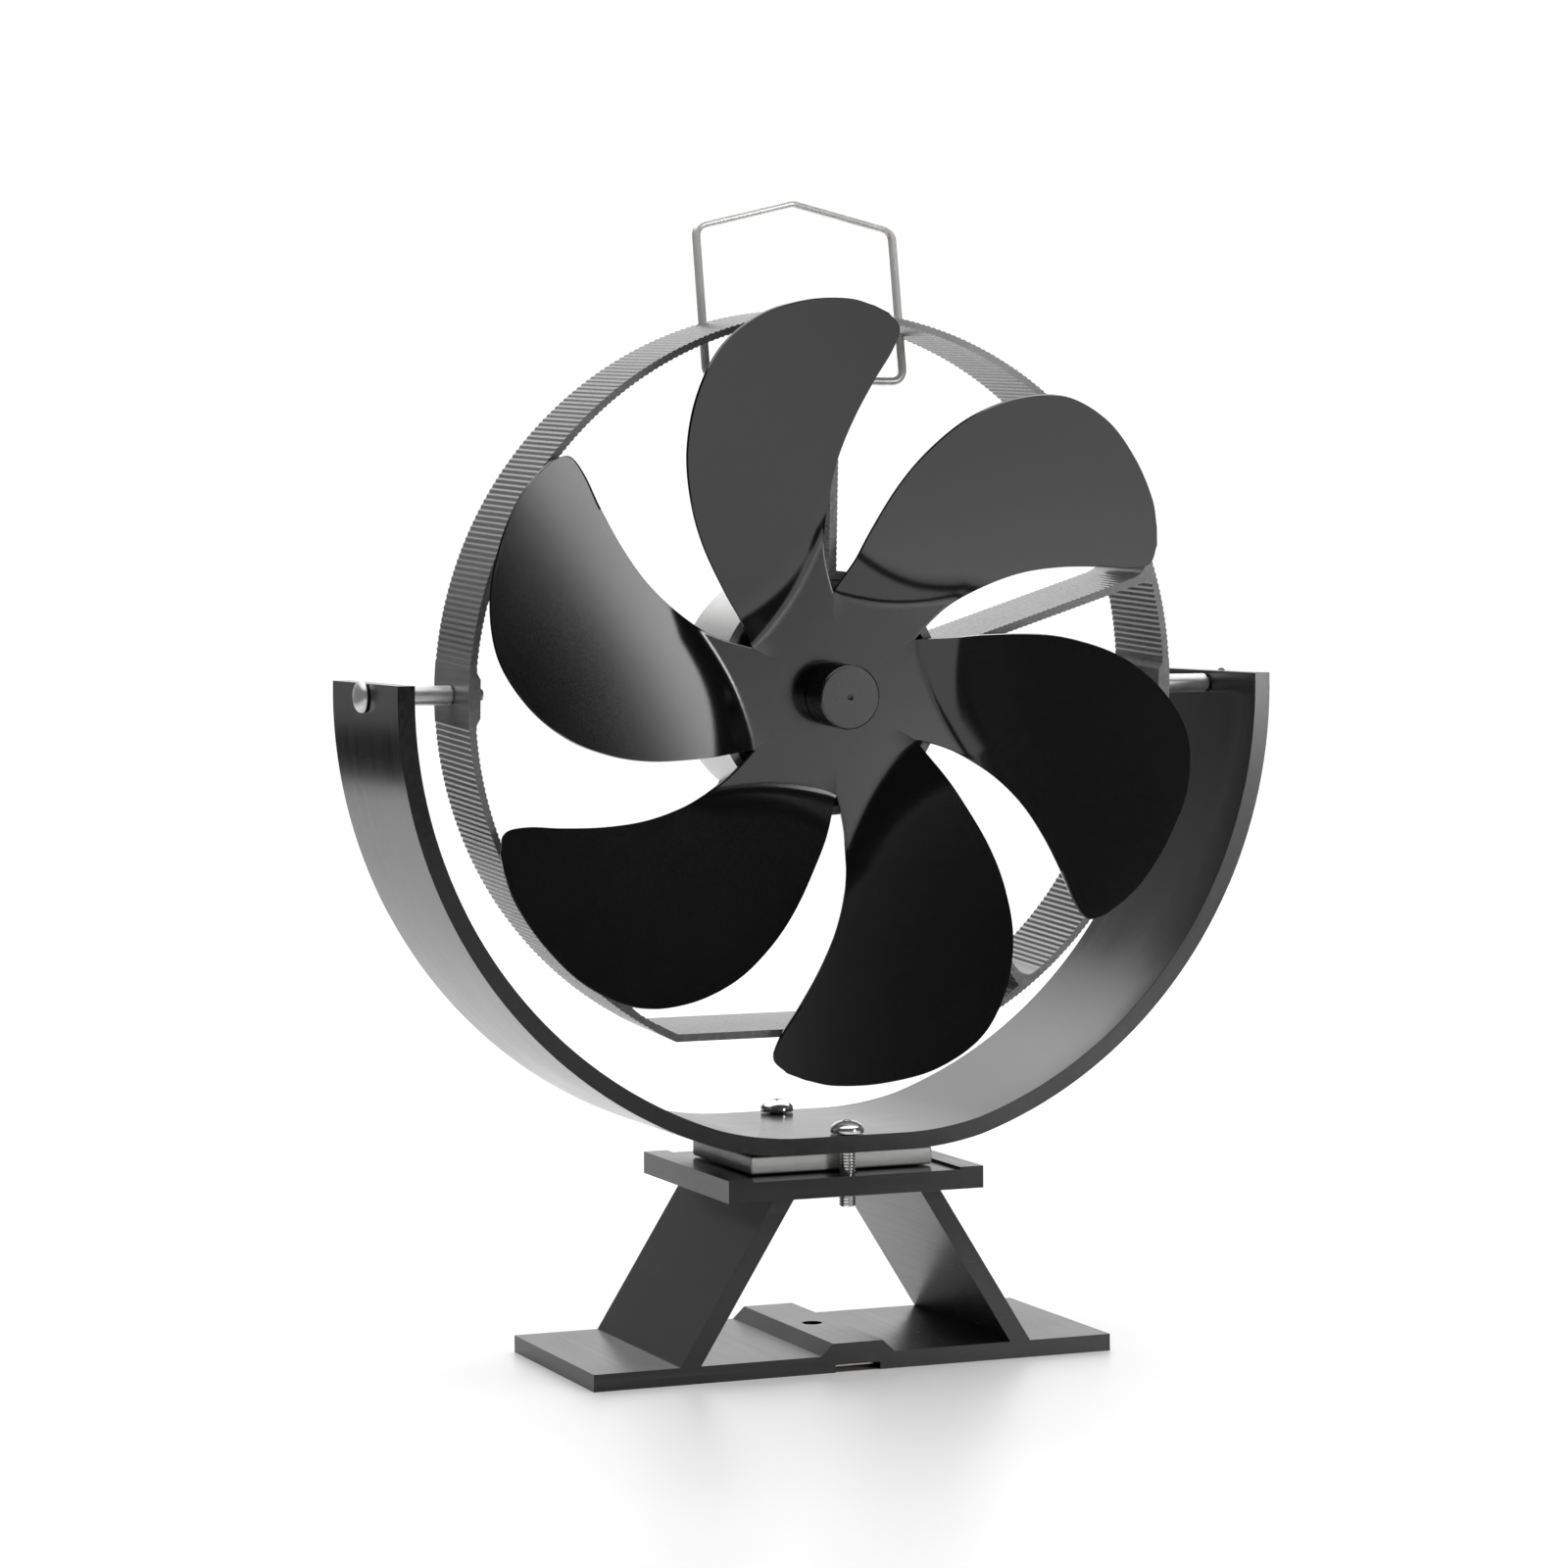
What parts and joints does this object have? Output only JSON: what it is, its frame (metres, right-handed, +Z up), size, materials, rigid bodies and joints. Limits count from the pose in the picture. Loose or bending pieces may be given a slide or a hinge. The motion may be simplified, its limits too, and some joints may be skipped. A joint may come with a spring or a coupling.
{
  "type": "stove fan",
  "caption": "Heat-powered stove fan: a trestle stand with a heat module, a curved cradle, and a tilting round motor frame with a large bladed wheel and a wire handle.",
  "frame": {"origin": "on the floor, under the middle of the whole fan's bounding box", "axes": "+Z up, -Y the way the fan faces and blows, +X to the right of someone who looks at its front"},
  "size_m": [0.223, 0.059, 0.2723],
  "materials": {
    "stand_black": "black anodised extrusion, satin, fine die lines",
    "cradle_black": "black anodised strip, satin, brushed lengthwise",
    "ring_black": "black anodised extrusion with fine grooves",
    "blade_black": "black anodised sheet, smooth satin",
    "cap_black": "black anodised turning, satin",
    "bare_aluminium": "milled bare metal",
    "screw_steel": "bright plated steel",
    "spacer_steel": "bright plated steel tube",
    "handle_wire": "polished stainless wire",
    "zinc_steel": "zinc plated steel",
    "bimetal": "rolled bimetal",
    "white_ceramic": "matt white alumina",
    "pellets": "dark semiconductor pellets",
    "black_plastic": "moulded",
    "ferrite": "dark sintered magnet",
    "core_iron": "stacked laminations",
    "copper": "enamelled copper wire and segments",
    "carbon": "carbon brush",
    "bronze": "sintered bronze"
  },
  "bodies": {
    "stand": {"stand_base": "stand_black", "bimetal_strip": "bimetal", "bimetal_rivet": "zinc_steel", "heat_block": "bare_aluminium", "module_hot_plate": "white_ceramic", "module_pellets": "pellets", "module_cold_plate": "white_ceramic", "cradle": "cradle_black", "clamp_screw_front": "screw_steel", "clamp_screw_back": "screw_steel", "pivot_screw_left": "screw_steel", "pivot_screw_right": "screw_steel", "pivot_spacer_left": "spacer_steel", "pivot_spacer_right": "spacer_steel", "pivot_nut_left": "screw_steel", "pivot_nut_right": "screw_steel"},
    "head": {"ring_frame": "ring_black", "motor_plate": "zinc_steel", "plate_screw_lower": "screw_steel", "plate_screw_upper": "screw_steel", "motor_can": "zinc_steel", "motor_end_cap": "black_plastic", "motor_magnet_left": "ferrite", "motor_magnet_right": "ferrite", "motor_brush_left": "carbon", "motor_brush_right": "carbon", "motor_bush_front": "bronze", "motor_bush_rear": "bronze"},
    "rotor": {"motor_shaft": "zinc_steel", "motor_core": "core_iron", "motor_winding_1": "copper", "motor_winding_2": "copper", "motor_winding_3": "copper", "motor_commutator": "copper", "fan_wheel": "blade_black", "wheel_hub": "zinc_steel", "front_cap": "cap_black"},
    "handle": {"handle": "handle_wire"}
  },
  "joints": [
    {"name": "head_tilt", "type": "hinge", "parent": "stand", "child": "head", "pos_m": [0, 0.00195, 0.157], "axis": [1, 0, 0], "range_deg": [-93, 87]},
    {"name": "fan_spin", "type": "hinge", "parent": "head", "child": "rotor", "pos_m": [0, 0.00195, 0.157], "axis": [0, -0.9986, -0.0523], "continuous": true},
    {"name": "handle_slide", "type": "slide", "parent": "head", "child": "handle", "axis": [0, 0.1822, 0.9833], "range_m": [-0.02, 0.009]}
  ]
}
